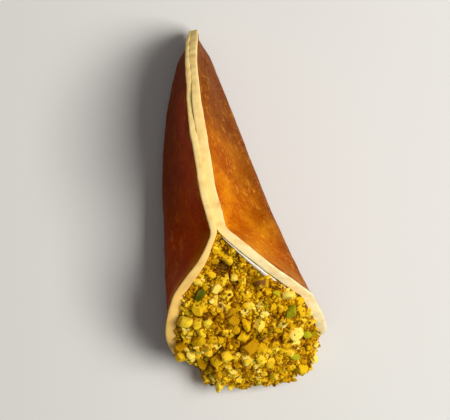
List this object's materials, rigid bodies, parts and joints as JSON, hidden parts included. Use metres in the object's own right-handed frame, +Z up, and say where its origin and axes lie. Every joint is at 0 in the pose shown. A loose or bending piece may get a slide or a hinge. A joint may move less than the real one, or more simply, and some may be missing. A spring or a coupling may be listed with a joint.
{
  "type": "qatayef",
  "caption": "Small folded pancake cone, pinched shut along its top seam, filled with cream, its open mouth coated with crushed pistachio.",
  "frame": {"origin": "centre of the bounding box's footprint, on the surface that the piece rests on", "axes": "+Y along the fold from the mouth to the tip, +Z up through the pinched seam, +X to the right with the tip pointing away"},
  "size_m": [0.0348, 0.0796, 0.0311],
  "materials": {
    "pancake": "griddle-browned orange-brown outside with fine darker mottling and pale pores, pale cream lips, slight oily sheen",
    "cream": "white clotted cream, soft and moist",
    "pistachio": "crushed pistachio, golden yellow-green crumbs with brown-purple skin flecks and a few bright green pieces"
  },
  "bodies": {
    "root": {"pancake": "pancake", "cream": "cream", "pistachio_coat": "pistachio"}
  },
  "joints": []
}
